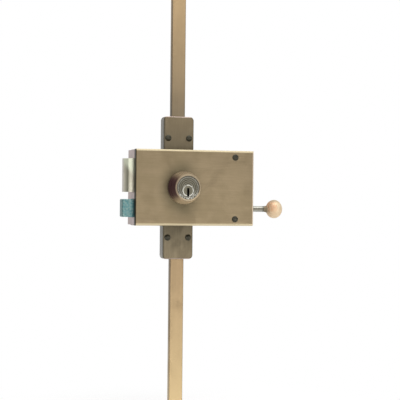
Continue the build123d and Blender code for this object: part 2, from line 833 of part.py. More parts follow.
with BuildPart() as latch_rivets:
    with BuildSketch(Plane.XZ.offset(tail_back)):
        with Locations(*latch_rivets_at):
            Circle(rivet_radius)
    extrude(amount=slide_front - tail_back)
save(latch_rivets, "latch_rivets")


def stem_round(start, end, radius, mode=Mode.ADD):
    """One round length on the pull stem's axis."""
    ends = (Align.CENTER, Align.CENTER, Align.MIN)
    with Locations((start, -stem_depth, stem_z)):
        Cylinder(radius, end - start, rotation=(0, 90, 0), align=ends, mode=mode)


# Pull stem: riveted in the lug, screwed into the knob
knob_left = knob_x - knob_half_length
lug_left = leg_right - lug_thickness
with BuildPart() as pull_stem:
    stem_round(lug_left - spigot_head, lug_left, spigot_head_radius)
    stem_round(lug_left, leg_right, stem_spigot_radius)
    stem_round(leg_right, knob_left - knob_neck, stem_radius)
    stem_round(knob_left - knob_neck, knob_left - knob_neck + knob_socket, stem_spigot_radius)
save(pull_stem, "pull_stem")

# Pull knob: a slightly flattened ball on a flared neck, bored for the stem's end.
# Its outline is two end arcs with centres on the axis and a tighter arc between them.
neck_left = knob_left - knob_neck
neck_right = knob_left + knob_neck / 2
end_centre = knob_end_radius - knob_half_length
radius_step = knob_end_radius - knob_radius
middle_radius = (knob_end_radius**2 - end_centre**2 - knob_radius**2) / (2 * radius_step)
end_reach = knob_end_radius / (knob_end_radius - middle_radius)
meeting_x = end_centre * (end_reach - 1)
meeting_y = (knob_radius - middle_radius) * end_reach
with BuildPart() as pull_knob:
    with BuildSketch(Plane(origin=(0, -stem_depth, stem_z), z_dir=(0, 0, 1))):
        with BuildLine():
            knob_right = knob_x + knob_half_length
            left_meeting = (knob_x - meeting_x, -meeting_y)
            right_meeting = (knob_x + meeting_x, -meeting_y)
            TangentArc((knob_left, 0), left_meeting, tangent=(0, -1))
            ThreePointArc(left_meeting, (knob_x, -knob_radius), right_meeting)
            TangentArc((knob_right, 0), right_meeting, tangent=(0, -1))
            Line((knob_right, 0), (knob_left, 0))
        make_face()
        with BuildLine():
            TangentArc((neck_left, -stem_radius), (neck_right, -knob_neck_radius), tangent=(1, 0))
            Polyline(
                (neck_right, -knob_neck_radius),
                (neck_right, 0),
                (neck_left, 0),
                (neck_left, -stem_radius),
            )
        make_face()
        with Locations((neck_left + knob_socket / 2, -stem_spigot_radius / 2)):
            Rectangle(knob_socket, stem_spigot_radius, mode=Mode.SUBTRACT)
    revolve(axis=Axis((0, -stem_depth, stem_z), (1, 0, 0)))
save(pull_knob, "pull_knob")

# Bush that carries the stem through the case's side
with BuildPart() as stem_bush:
    bush_radius = stem_radius + running_gap + bush_wall
    stem_round(bush_inner_end, inner_right, bush_flange_radius)
    stem_round(inner_right, case_right, bush_radius)
    stem_round(case_right, case_right + bush_lip, bush_radius + bush_lip)
    stem_round(bush_inner_end, case_right + bush_lip, stem_radius + running_gap, Mode.SUBTRACT)
save(stem_bush, "stem_bush")

# Latch spring round the stem, between the lug and the bush
spring_plane = Plane(origin=(leg_right, -stem_depth, stem_z), z_dir=(1, 0, 0))
with BuildPart() as latch_spring:
    spring_length = bush_inner_end - leg_right
    add(coil(spring_radius, spring_wire, spring_length, spring_turns, spring_plane))
save(latch_spring, "latch_spring")

# Cylinder body: bored off centre for the plug, with a row of pin chambers above it
chamber_places = [first_pin_depth + pin_pitch * index for index in range(len(key_pin_lengths))]
shear_line = key_z + plug_radius
chamber_start = shear_line + shear_gap
spring_start = chamber_start + driver_pin_length
cap_end = cylinder_radius - chamber_plug_inset
cap_start = cap_end - chamber_plug_length
with BuildPart() as cylinder_body:
    with BuildSketch(Plane.XZ.offset(cylinder_rear)):
        Circle(cylinder_radius)
    extrude(amount=cylinder_face - cylinder_rear)
    chamfer(cylinder_body.faces().sort_by(Axis.Y)[0].edges(), edge_gap)
    with BuildSketch(Plane.XZ.offset(cylinder_rear)):
        with Locations((0, key_z)):
            Circle(plug_radius + running_gap)
    extrude(amount=cylinder_face - cylinder_rear, mode=Mode.SUBTRACT)
    with BuildSketch(Plane.XZ.offset(cylinder_face - face_groove_depth)):
        Circle(face_groove_radius)
        Circle(face_groove_radius - face_groove_width, mode=Mode.SUBTRACT)
    extrude(amount=face_groove_depth, mode=Mode.SUBTRACT)
    with BuildSketch(Plane.XY.offset(key_z)):
        with Locations(*[(0, -depth) for depth in chamber_places]):
            Circle(pin_radius)
    extrude(amount=2 * cylinder_radius, mode=Mode.SUBTRACT)
save(cylinder_body, "cylinder_body")

# Conical collar over the cylinder
with BuildPart() as cylinder_collar:
    with BuildSketch(Plane.XY):
        with BuildLine():
            Polyline(
                (cylinder_radius, -case_depth),
                (collar_base_radius, -case_depth),
                (collar_base_radius, -case_depth - collar_lip),
                (collar_front_radius, -collar_front),
                (cylinder_radius, -collar_front),
                close=True,
            )
        make_face()
    revolve(axis=Axis.Y)
    round_edges = cylinder_collar.edges().filter_by(GeomType.CIRCLE)
    fillet([edge for edge in round_edges if edge.radius > cylinder_radius + collar_round
            and edge.center().Y < -case_depth - edge_gap], collar_round)
save(cylinder_collar, "cylinder_collar")

# Nut that clamps the cylinder and its collar to the cover
with BuildPart() as cylinder_nut:
    with BuildSketch(Plane.XZ.offset(inner_front - nut_thickness)):
        RegularPolygon(nut_radius, nut_sides)
        Circle(cylinder_radius, mode=Mode.SUBTRACT)
    extrude(amount=nut_thickness)
save(cylinder_nut, "cylinder_nut")


def chamber_pieces(start, end):
    """One round pin in every chamber of the cylinder body."""
    with BuildPart() as pins:
        with BuildSketch(Plane.XY.offset(start)):
            with Locations(*[(0, -depth) for depth in chamber_places]):
                Circle(pin_radius)
        extrude(amount=end - start)
    return pins


driver_pins = chamber_pieces(chamber_start, spring_start)
save(driver_pins, "driver_pins")
chamber_plugs = chamber_pieces(cap_start, cap_end)
save(chamber_plugs, "chamber_plugs")

with BuildPart() as pin_springs:
    for depth in chamber_places:
        chamber_plane = Plane(origin=(0, -depth, spring_start), z_dir=(0, 0, 1))
        spring_mean = pin_radius - 2 * pin_spring_wire
        add(coil(spring_mean, pin_spring_wire, cap_start - spring_start, pin_spring_turns, chamber_plane))
save(pin_springs, "pin_springs")

# Plug: keyway in front, neck for its circlip, then a square tail to the driver pinion
neck_radius = plug_radius - circlip_width
neck_back = cylinder_rear - 2 * circlip_thickness
tail_end = wheel_back - tail_overhang
with BuildPart() as cylinder_plug:
    with BuildSketch(Plane.XZ.offset(cylinder_rear)):
        with Locations((0, key_z)):
            Circle(plug_radius)
    extrude(amount=cylinder_face - cylinder_rear)
    chamfer(cylinder_plug.faces().sort_by(Axis.Y)[0].edges(), edge_gap)
    with BuildSketch(Plane.XZ.offset(neck_back)):
        with Locations((0, key_z)):
            Circle(neck_radius)
    extrude(amount=cylinder_rear - neck_back)
    with BuildSketch(Plane.XZ.offset(tail_end)):
        with Locations((0, key_z)):
            Rectangle(tail_square, tail_square)
    extrude(amount=neck_back - tail_end)
    with BuildSketch(Plane.XZ.offset(tail_end)):
        with Locations((0, key_z)):
            Rectangle(tail_slot_width, tail_slot_height)
    extrude(amount=tail_slot_depth, mode=Mode.SUBTRACT)
    with BuildSketch(Plane.XZ.offset(cylinder_rear + keyway_from_rear)):
        with Locations((0, key_z)):
            with Locations((0, (keyway_top - keyway_bottom) / 2)):
                Rectangle(keyway_width, keyway_top + keyway_bottom)
            for hand, height in ((-1, 0), (1, -keyway_bottom / 2)):
                with Locations((hand * keyway_width / 2, height)):
                    Rectangle(2 * keyway_ward, 2 * keyway_ward, mode=Mode.SUBTRACT)
    extrude(amount=cylinder_face, mode=Mode.SUBTRACT)
    with BuildSketch(Plane.XY.offset(key_z)):
        with Locations(*[(0, -depth) for depth in chamber_places]):
            Circle(pin_radius)
    extrude(amount=2 * plug_radius, mode=Mode.SUBTRACT)
    with BuildSketch(Plane.YZ.offset(-tail_square)):
        with Locations((-wheel_front - driver_hub_length / 2, key_z)):
            Circle(cross_pin_radius)
    extrude(amount=2 * tail_square, mode=Mode.SUBTRACT)
    with BuildSketch(Plane.XZ.offset(neck_back + circlip_thickness)):
        with Locations((0, key_z)):
            Circle(neck_radius)
            Circle(neck_radius - groove_depth, mode=Mode.SUBTRACT)
    extrude(amount=circlip_thickness, mode=Mode.SUBTRACT)
save(cylinder_plug, "cylinder_plug")

plug_circlip = circlip(key_z, neck_radius - groove_depth, neck_back + circlip_thickness)
save(plug_circlip, "plug_circlip")

# Key pins, each as long as its cut in the key leaves it
with BuildPart() as key_pins:
    pin_top = key_z + math.sqrt(plug_radius**2 - pin_radius**2) - key_pin_drop
    for depth, length in zip(chamber_places, key_pin_lengths):
        with BuildSketch(Plane.XY.offset(pin_top - length)):
            with Locations((0, -depth)):
                Circle(pin_radius)
        extrude(amount=length)
    tips = key_pins.edges().filter_by(GeomType.CIRCLE)
    chamfer([tip for tip in tips if tip.center().Z < pin_top - pin_radius], pin_radius / 2)
save(key_pins, "key_pins")

# Driver pinion on the plug's tail, pinned through its hub
with BuildPart() as driver_pinion:
    with BuildSketch(Plane.XZ.offset(wheel_back)):
        with Locations((0, key_z)):
            Polygon(*gear_outline(driver_teeth, 270), align=None)
    extrude(amount=gear_face)
    with BuildSketch(Plane.XZ.offset(wheel_front)):
        with Locations((0, key_z)):
            Circle(driver_hub_radius)
    extrude(amount=driver_hub_length)
    with BuildSketch(Plane.XZ.offset(wheel_back)):
        with Locations((0, key_z)):
            Rectangle(tail_square, tail_square)
    extrude(amount=gear_face + driver_hub_length, mode=Mode.SUBTRACT)
    with BuildSketch(Plane.YZ.offset(-driver_hub_radius)):
        with Locations((-wheel_front - driver_hub_length / 2, key_z)):
            Circle(cross_pin_radius)
    extrude(amount=2 * driver_hub_radius, mode=Mode.SUBTRACT)
save(driver_pinion, "driver_pinion")

with BuildPart() as driver_cross_pin:
    with BuildSketch(Plane.YZ.offset(edge_gap - driver_hub_radius)):
        with Locations((-wheel_front - driver_hub_length / 2, key_z)):
            Circle(cross_pin_radius)
    extrude(amount=2 * (driver_hub_radius - edge_gap))
save(driver_cross_pin, "driver_cross_pin")
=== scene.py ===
import json
import math
import bmesh
import bpy
from mathutils import Matrix, Vector


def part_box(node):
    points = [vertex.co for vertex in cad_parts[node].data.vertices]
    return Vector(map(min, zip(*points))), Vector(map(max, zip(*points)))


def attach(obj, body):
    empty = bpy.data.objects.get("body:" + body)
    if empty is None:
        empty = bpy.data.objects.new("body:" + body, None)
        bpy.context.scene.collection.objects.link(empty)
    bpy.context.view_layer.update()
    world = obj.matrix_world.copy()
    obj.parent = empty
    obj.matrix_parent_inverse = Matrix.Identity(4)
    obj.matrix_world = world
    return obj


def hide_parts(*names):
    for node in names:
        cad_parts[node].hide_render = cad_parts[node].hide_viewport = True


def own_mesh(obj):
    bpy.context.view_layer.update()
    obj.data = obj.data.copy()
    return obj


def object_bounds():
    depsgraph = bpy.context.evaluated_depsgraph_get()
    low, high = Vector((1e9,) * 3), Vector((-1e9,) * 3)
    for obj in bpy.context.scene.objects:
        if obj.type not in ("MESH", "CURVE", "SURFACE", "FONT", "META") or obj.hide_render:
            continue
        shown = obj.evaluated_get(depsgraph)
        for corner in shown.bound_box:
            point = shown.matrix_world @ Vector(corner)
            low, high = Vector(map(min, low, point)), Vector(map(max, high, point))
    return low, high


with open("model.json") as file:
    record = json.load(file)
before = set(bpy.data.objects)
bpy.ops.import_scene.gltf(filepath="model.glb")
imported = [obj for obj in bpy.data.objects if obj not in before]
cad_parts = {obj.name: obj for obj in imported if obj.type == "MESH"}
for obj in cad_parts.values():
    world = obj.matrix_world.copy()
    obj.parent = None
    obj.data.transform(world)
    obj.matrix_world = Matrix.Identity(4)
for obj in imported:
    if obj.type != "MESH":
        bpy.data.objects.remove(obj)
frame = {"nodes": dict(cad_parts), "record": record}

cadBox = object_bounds()
record = frame["record"]
nodes = frame["nodes"]
print("stage: frame loaded,", len(nodes), "nodes")


def seen(red, green, blue):  # a colour as it looks on screen, 0 to 255, made linear
    parts = []
    for value in (red, green, blue):
        value = value / 255
        parts.append(value / 12.92 if value <= 0.04045 else ((value + 0.055) / 1.055) ** 2.4)
    return (*parts, 1.0)


# Node helpers
def give(tree, socket, value):  # joins another node's socket, or sets a plain value
    if isinstance(value, bpy.types.NodeSocket):
        tree.links.new(value, socket)
    else:
        socket.default_value = value


def addNode(tree, kind, values=None, **settings):
    node = tree.nodes.new(kind)
    for name, value in settings.items():
        setattr(node, name, value)
    for key, value in (values or {}).items():
        give(tree, node.inputs[key], value)
    return node


def maths(tree, operation, first, second=0.0, third=0.0):
    values = {0: first, 1: second, 2: third}
    return addNode(tree, "ShaderNodeMath", values, operation=operation).outputs[0]


def mixColours(tree, share, first, second):
    node = addNode(tree, "ShaderNodeMix", data_type="RGBA")
    for slot, value in ((0, share), (6, first), (7, second)):  # 6, 7 and output 2 are a Mix node's colours
        give(tree, node.inputs[slot], value)
    return node.outputs[2]


def spread(tree, value, low, high, toLow=0.0, toHigh=1.0, smooth=False):  # maps a range onto another
    kind = "SMOOTHSTEP" if smooth else "LINEAR"
    values = {0: value, 1: low, 2: high, 3: toLow, 4: toHigh}
    return addNode(tree, "ShaderNodeMapRange", values, interpolation_type=kind).outputs[0]


def distance(tree, across, up, middle=(0.0, 0.0)):  # how far a point is from an axis
    sideways = maths(tree, "SUBTRACT", across, middle[0])
    upward = maths(tree, "SUBTRACT", up, middle[1])
    square = maths(tree, "MULTIPLY_ADD", sideways, sideways, maths(tree, "MULTIPLY", upward, upward))
    return maths(tree, "SQRT", square)


def newGroup(name, inputs, outputs):
    tree = bpy.data.node_groups.new(name, "ShaderNodeTree")
    kinds = {"number": "NodeSocketFloat", "place": "NodeSocketVector"}
    for socketName, kind in inputs:
        tree.interface.new_socket(socketName, in_out="INPUT", socket_type=kinds[kind])
    for socketName, kind in outputs:
        tree.interface.new_socket(socketName, in_out="OUTPUT", socket_type=kinds[kind])
    return tree, tree.nodes.new("NodeGroupInput").outputs, tree.nodes.new("NodeGroupOutput").inputs


def placeGroup(tree, group, values):
    node = tree.nodes.new("ShaderNodeGroup")
    node.node_tree = group
    for key, value in values.items():
        give(tree, node.inputs[key], value)
    return node.outputs


# Shared effects
mottleShape = {"broadShare": 0.65, "broadDetail": 2.0, "finer": 4.3, "fineShare": 0.35, "fineDetail": 3.0}
grainShape = {"detail": 4.0, "rough": 0.62, "seen": (0.32, 0.68)}
ringShape = {"slope": 1.7, "evenShare": 0.25, "noise": 0.73, "detail": 2.0, "seen": (0.3, 0.7)}
wearShape = {"samples": 6, "lean": (0.995, 0.86), "chips": 520.0, "chipDetail": 3.0, "gap": (0.35, 0.6)}
smudgeShape = {"detail": 5.0, "swirl": 1.4, "seen": (0.42, 0.66)}


def makeMottle():  # soft cloudy patches, with finer ones inside them
    ends = [("Place", "place"), ("Size", "number"), ("Low", "number"), ("High", "number")]
    tree, given, put = newGroup("softMottle", ends, [("Mask", "number")])
    scale = maths(tree, "DIVIDE", 1.0, given["Size"])
    broadSettings = {"Vector": given["Place"], "Scale": scale, "Detail": mottleShape["broadDetail"]}
    broad = addNode(tree, "ShaderNodeTexNoise", broadSettings).outputs[0]
    finer = maths(tree, "MULTIPLY", scale, mottleShape["finer"])
    fineSettings = {"Vector": given["Place"], "Scale": finer, "Detail": mottleShape["fineDetail"]}
    fine = addNode(tree, "ShaderNodeTexNoise", fineSettings).outputs[0]
    both = maths(tree, "MULTIPLY", broad, mottleShape["broadShare"])
    both = maths(tree, "MULTIPLY_ADD", fine, mottleShape["fineShare"], both)
    tree.links.new(spread(tree, both, given["Low"], given["High"], smooth=True), put["Mask"])
    return tree


def makeGrain():  # fine lines left by a brush or a drawing die, long along one way
    ends = [("Place", "place"), ("Fineness", "number"), ("Stretch", "place")]
    tree, given, put = newGroup("brushedGrain", ends, [("Height", "number"), ("Mask", "number")])
    ways = {0: given["Place"], 1: given["Stretch"]}
    stretched = addNode(tree, "ShaderNodeVectorMath", ways, operation="MULTIPLY").outputs[0]
    settings = {"Vector": stretched, "Scale": given["Fineness"], "Detail": grainShape["detail"],
                "Roughness": grainShape["rough"]}
    lines = addNode(tree, "ShaderNodeTexNoise", settings).outputs[0]
    tree.links.new(lines, put["Height"])
    tree.links.new(spread(tree, lines, *grainShape["seen"]), put["Mask"])
    return tree


def makeRings():  # tool marks round the Y axis, as a lathe leaves them
    ends = [("Place", "place"), ("Pitch", "number"), ("Uneven", "number")]
    tree, given, put = newGroup("turnedRings", ends, [("Height", "number"), ("Mask", "number")])
    x, y, z = addNode(tree, "ShaderNodeSeparateXYZ", {0: given["Place"]}).outputs
    along = maths(tree, "SUBTRACT", distance(tree, x, z), maths(tree, "MULTIPLY", y, ringShape["slope"]))
    turns = maths(tree, "DIVIDE", along, given["Pitch"])
    wave = maths(tree, "SINE", maths(tree, "MULTIPLY", turns, 2 * math.pi))
    settings = {"W": turns, "Scale": ringShape["noise"], "Detail": ringShape["detail"]}
    rough = addNode(tree, "ShaderNodeTexNoise", settings, noise_dimensions="1D").outputs[0]
    even = maths(tree, "MULTIPLY", wave, ringShape["evenShare"])
    tree.links.new(maths(tree, "MULTIPLY_ADD", rough, given["Uneven"], even), put["Height"])
    tree.links.new(spread(tree, rough, *ringShape["seen"]), put["Mask"])
    return tree


def makeWear():  # 1 along edges, broken up, from how far a rounded normal leans away
    ends = [("Place", "place"), ("Width", "number"), ("Breakup", "number")]
    tree, given, put = newGroup("edgeWear", ends, [("Mask", "number")])
    rounded = addNode(tree, "ShaderNodeBevel", {"Radius": given["Width"]}, samples=wearShape["samples"])
    flat = addNode(tree, "ShaderNodeNewGeometry")
    normals = {0: rounded.outputs[0], 1: flat.outputs["Normal"]}
    lean = addNode(tree, "ShaderNodeVectorMath", normals, operation="DOT_PRODUCT").outputs["Value"]
    edge = spread(tree, lean, *wearShape["lean"])
    settings = {"Vector": given["Place"], "Scale": wearShape["chips"], "Detail": wearShape["chipDetail"]}
    chips = addNode(tree, "ShaderNodeTexNoise", settings).outputs[0]
    gap = spread(tree, chips, *wearShape["gap"], smooth=True)
    kept = maths(tree, "MULTIPLY_ADD", maths(tree, "SUBTRACT", gap, 1.0), given["Breakup"], 1.0)
    tree.links.new(maths(tree, "MULTIPLY", edge, kept), put["Mask"])
    return tree


def makeSmudge():  # finger marks and dust that change only how dull the surface is
    ends = [("Place", "place"), ("Size", "number")]
    tree, given, put = newGroup("handledDust", ends, [("Mask", "number")])
    scale = maths(tree, "DIVIDE", 1.0, given["Size"])
    settings = {"Vector": given["Place"], "Scale": scale, "Detail": smudgeShape["detail"],
                "Distortion": smudgeShape["swirl"]}
    swirls = addNode(tree, "ShaderNodeTexNoise", settings).outputs[0]
    tree.links.new(spread(tree, swirls, *smudgeShape["seen"], smooth=True), put["Mask"])
    return tree


mottle = makeMottle()
grain = makeGrain()
rings = makeRings()
wear = makeWear()
smudge = makeSmudge()
print("stage: shared effects made")

# Finishes
finishes = {}


def makeMetal(name, look):  # one metal finish from its settings; gives back what a dress function builds on
    material = bpy.data.materials.new(name)
    material.use_nodes = True
    tree = material.node_tree
    shader = tree.nodes["Principled BSDF"]
    place = addNode(tree, "ShaderNodeTexCoord").outputs["Object"]
    low, high = look["patchSeen"]
    cloudy = {"Place": place, "Size": look["patch"], "Low": low, "High": high}
    patches = placeGroup(tree, mottle, cloudy)["Mask"]
    colour = mixColours(tree, patches, look["dark"], look["pale"])
    if "rings" in look:
        moved = addNode(tree, "ShaderNodeMapping", {"Vector": place, "Location": look["centre"]}).outputs[0]
        lines = placeGroup(tree, rings, {"Place": moved, "Pitch": look["rings"], "Uneven": look["uneven"]})
    else:
        lines = placeGroup(tree, grain, {"Place": place, "Fineness": look["grain"], "Stretch": look["along"]})
    streaks = maths(tree, "MULTIPLY", lines["Mask"], look["streak"])
    colour = mixColours(tree, streaks, colour, look["line"])
    marks = placeGroup(tree, smudge, {"Place": place, "Size": look["smudge"]})["Mask"]
    edges = placeGroup(tree, wear, {"Place": place, "Width": look["edge"], "Breakup": look["breakup"]})
    worn = maths(tree, "MULTIPLY", edges["Mask"], look["wear"])
    colour = mixColours(tree, worn, colour, look["bare"])
    dull = spread(tree, marks, 0.0, 1.0, look["smooth"], look["dull"])
    dull = maths(tree, "MULTIPLY_ADD", lines["Mask"], look["grainDull"], dull)
    bump = addNode(tree, "ShaderNodeBump", {"Strength": look["bump"], "Distance": look["depth"],
                                            "Height": lines["Height"]})
    tree.links.new(colour, shader.inputs["Base Color"])
    tree.links.new(dull, shader.inputs["Roughness"])
    tree.links.new(bump.outputs[0], shader.inputs["Normal"])
    shader.inputs["Metallic"].default_value = look["metal"]
    finishes[name] = material
    spot = addNode(tree, "ShaderNodeSeparateXYZ", {0: place}).outputs
    return {"tree": tree, "shader": shader, "place": place, "spot": spot, "colour": colour}


def tint(metal, share, colour):  # lays one more colour over a finish where share is above 0
    metal["colour"] = mixColours(metal["tree"], share, metal["colour"], colour)
    metal["tree"].links.new(metal["colour"], metal["shader"].inputs["Base Color"])


def stain(metal, value, mark, mask=None, smooth=True):  # tints more and more as value crosses the mark
    tree = metal["tree"]
    share = spread(tree, value, *mark["from"], 0.0, mark["share"], smooth=smooth)
    if mask is not None:
        share = maths(tree, "MULTIPLY", share, mask)
    tint(metal, share, mark["colour"])


# Lengths are in metres, and the grain runs along the axis that has the small number in "along"
flatSheet = {"patch": 0.05, "patchSeen": (0.38, 0.62), "grain": 900.0, "along": (0.05, 1.0, 1.0),
             "streak": 0.3, "centre": (0.0, 0.0, 0.0), "uneven": 0.9, "smudge": 0.05, "edge": 0.0012,
             "breakup": 0.5, "bump": 0.1, "depth": 0.0002, "grainDull": 0.08}

bronzeCase = dict(flatSheet, pale=seen(138, 122, 96), dark=seen(129, 114, 88), line=seen(112, 98, 74),
                  streak=0.22, bare=seen(222, 206, 178), wear=0.35, smooth=0.3, dull=0.4, metal=0.85)
bronzeGuides = dict(bronzeCase, pale=seen(129, 116, 93), dark=seen(118, 105, 83), line=seen(96, 85, 66),
                    streak=0.3, bare=seen(216, 198, 180), along=(1.0, 1.0, 0.06), wear=0.3)
bronzeCollar = dict(flatSheet, patch=0.012, rings=0.0009, pale=seen(192, 168, 136), dark=seen(176, 152, 121),
                    line=seen(118, 98, 78), streak=0.12, bare=seen(224, 204, 176), wear=0.4, smooth=0.24,
                    dull=0.34, metal=0.5, bump=0.05)
bronzeRods = dict(flatSheet, patch=0.03, along=(1.0, 1.0, 0.03), pale=seen(176, 155, 122),
                  dark=seen(164, 143, 111), line=seen(140, 121, 90), bare=seen(232, 216, 188), wear=0.3,
                  smooth=0.28, dull=0.4, metal=0.8)
nickelStrip = dict(flatSheet, along=(1.0, 1.0, 0.04), pale=seen(220, 203, 199), dark=seen(204, 187, 183),
                   line=seen(164, 154, 154), bare=seen(232, 226, 222), wear=0.3, smooth=0.34, dull=0.46,
                   metal=0.6)
nickelTurned = dict(flatSheet, patch=0.009, rings=0.0006, pale=seen(112, 108, 93), dark=seen(95, 91, 78),
                    line=seen(80, 76, 65), streak=0.25, bare=seen(226, 224, 214), wear=0.5, smooth=0.22,
                    dull=0.34, metal=0.95)
nickelPlug = dict(nickelTurned, centre=(0.0, 0.0, 0.0035))
zincSheet = dict(flatSheet, patch=0.008, pale=seen(204, 206, 202), dark=seen(184, 188, 188),
                 line=seen(160, 164, 164), bare=seen(226, 228, 226), wear=0.3, smooth=0.34, dull=0.5,
                 metal=0.85)
brightSteel = dict(flatSheet, patch=0.006, along=(0.04, 1.0, 1.0), pale=seen(200, 198, 190),
                   dark=seen(182, 180, 172), line=seen(150, 148, 140), bare=seen(236, 236, 232), wear=0.3,
                   smooth=0.14, dull=0.24, metal=1.0)
gearSteel = dict(flatSheet, patch=0.004, rings=0.0005, pale=seen(178, 178, 174), dark=seen(156, 156, 154),
                 line=seen(112, 112, 110), bare=seen(220, 220, 216), wear=0.6, smooth=0.22, dull=0.4,
                 metal=1.0)
stemSteel = dict(brightSteel, pale=seen(172, 170, 160), dark=seen(152, 150, 140), line=seen(118, 116, 104),
                 dull=0.22)
springSteel = dict(brightSteel, pale=seen(166, 166, 168), dark=seen(140, 140, 142), line=seen(110, 110, 112))
darkScrews = dict(flatSheet, patch=0.003, rings=0.0004, pale=seen(70, 66, 50), dark=seen(50, 48, 36),
                  line=seen(40, 40, 34), bare=seen(148, 142, 118), wear=0.5, edge=0.0004, smooth=0.3,
                  dull=0.46, metal=0.5)
greenBolt = dict(flatSheet, patch=0.0024, along=(0.4, 1.0, 1.0), pale=seen(142, 170, 164),
                 dark=seen(78, 136, 141), line=seen(72, 106, 104), streak=0.4, bare=seen(176, 196, 188),
                 wear=0.3, edge=0.0006, smooth=0.3, dull=0.46, metal=0.4)
creamLatch = dict(flatSheet, patch=0.02, along=(1.0, 1.0, 0.05), pale=seen(228, 222, 202),
                  dark=seen(214, 208, 186), line=seen(146, 142, 118), streak=0.2, bare=seen(236, 232, 222),
                  wear=0.3, edge=0.0006, smooth=0.26, dull=0.4, metal=0.5, bump=0.05)
peachBrass = dict(flatSheet, patch=0.009, grain=500.0, along=(1.0, 0.3, 0.3), pale=seen(255, 230, 194),
                  dark=seen(255, 219, 178), line=seen(206, 164, 122), streak=0.08, bare=seen(248, 234, 212),
                  wear=0.2, smooth=0.46, dull=0.54, metal=0.3, bump=0.008, grainDull=0.03)
cutBrass = dict(flatSheet, patch=0.004, rings=0.0004, pale=seen(226, 196, 130), dark=seen(204, 172, 108),
                line=seen(160, 128, 74), bare=seen(244, 226, 176), wear=0.4, smooth=0.18, dull=0.32,
                metal=1.0)

# What is particular to each finish: "from" is where a mark begins and where it is full
caseMarks = {
    # painted shade round the collar, fading out to its right
    "collarAt": (0.005, -0.0015), "collarShadeEnds": (0.026, -0.004),
    "collarShade": {"from": (0.042, 0.016), "share": 1.0, "colour": seen(88, 80, 60)},
    "front": (-0.0304, -0.0312), "cornerFront": (-0.0328, -0.0334),
    # painted highlights along the top and bottom front bends
    "topBendHighlight": {"from": (0.0425, 0.0439), "share": 0.95, "colour": seen(216, 201, 166)},
    "lowBendHighlight": {"from": (-0.0418, -0.0436), "share": 0.95, "colour": seen(216, 201, 166)},
    # painted highlight along the right front edge
    "rightEdgeHighlight": {"from": (0.0866, 0.0872), "share": 0.7, "colour": seen(224, 206, 186)},
    # painted shade on the left lip
    "lip": {"from": (-0.0579, -0.0583), "share": 0.96, "colour": seen(42, 36, 22)},
}


def dressCase(metal):  # painted shade round the collar, painted highlights along the bends and the right front edge, and painted shade on the lip
    tree = metal["tree"]
    x, y, z = metal["spot"]
    away = distance(tree, x, z, caseMarks["collarAt"])
    stain(metal, away, caseMarks["collarShade"], spread(tree, x, *caseMarks["collarShadeEnds"], smooth=True))
    front = spread(tree, y, *caseMarks["front"])
    stain(metal, z, caseMarks["topBendHighlight"], front)
    stain(metal, z, caseMarks["lowBendHighlight"], front)
    corner = spread(tree, y, *caseMarks["cornerFront"])
    stain(metal, x, caseMarks["rightEdgeHighlight"], corner, smooth=False)
    stain(metal, x, caseMarks["lip"], smooth=False)


guideMarks = {
    # painted shade over the lower guide
    "lowerShadeShare": 0.35,
    "shade": {"from": (0.08, 0.046), "share": 0.6, "colour": seen(84, 78, 63)},
    # painted shade on the guides' left bend
    "leftBendShade": {"from": (-0.0162, -0.0174), "share": 0.7, "colour": seen(78, 72, 58)},
    "side": {"from": (0.0182, 0.0187), "share": 0.85, "colour": seen(150, 148, 142)},
    # painted highlight on the outer ends
    "outer": {"from": (0.0842, 0.0852), "share": 0.8, "colour": seen(216, 196, 188)},
}


def dressGuides(metal):  # painted shade below, near the case and on the left bend, bare grey sides, and painted highlights on the outer ends
    tree = metal["tree"]
    x, y, z = metal["spot"]
    out = maths(tree, "ABSOLUTE", z)
    below = maths(tree, "LESS_THAN", z, 0.0)
    tint(metal, maths(tree, "MULTIPLY", below, guideMarks["lowerShadeShare"]), guideMarks["shade"]["colour"])
    stain(metal, out, guideMarks["shade"], smooth=False)
    stain(metal, x, guideMarks["leftBendShade"])
    stain(metal, maths(tree, "ABSOLUTE", x), guideMarks["side"], smooth=False)
    stain(metal, out, guideMarks["outer"])


rodLightAndShade = {
    # painted reflection: darker near the guides, paler towards the rod ends
    "upper": {"from": (0.09, 0.235), "near": seen(114, 102, 83), "far": seen(195, 166, 125)},
    "lower": {"from": (-0.09, -0.265), "near": seen(139, 117, 87), "far": seen(222, 195, 146), "late": 1.6},
    "share": 0.85,
    # painted shade on the rods' sides
    "side": {"from": (0.0076, 0.0082), "share": 0.4, "colour": seen(70, 64, 54)},
}


def dressRods(metal):  # a painted reflection gradient from dark bronze at the guides to pale gold at the ends, and painted shade on the sides
    tree = metal["tree"]
    x, y, z = metal["spot"]
    upper, lower = rodLightAndShade["upper"], rodLightAndShade["lower"]
    upperShading = mixColours(tree, spread(tree, z, *upper["from"]), upper["near"], upper["far"])
    drop = maths(tree, "POWER", spread(tree, z, *lower["from"]), lower["late"])
    lowerShading = mixColours(tree, drop, lower["near"], lower["far"])
    below = maths(tree, "LESS_THAN", z, 0.0)
    tint(metal, rodLightAndShade["share"], mixColours(tree, below, upperShading, lowerShading))
    stain(metal, maths(tree, "ABSOLUTE", x), rodLightAndShade["side"], smooth=False)


collarMarks = {
    # painted highlight on the collar's upper side
    "top": {"from": (0.3, 0.85), "share": 0.75, "colour": seen(222, 200, 168)},
    # warm painted highlight on the collar's underside
    "low": {"from": (-0.1, -0.6), "share": 1.0, "colour": seen(255, 228, 186)},
    # painted shade on the collar's left side
    "left": {"from": (-0.45, -0.92), "share": 0.95, "colour": seen(98, 66, 74)},
    "ring": {"from": (-0.0511, -0.0514), "share": 0.8, "colour": seen(146, 130, 104)},
}


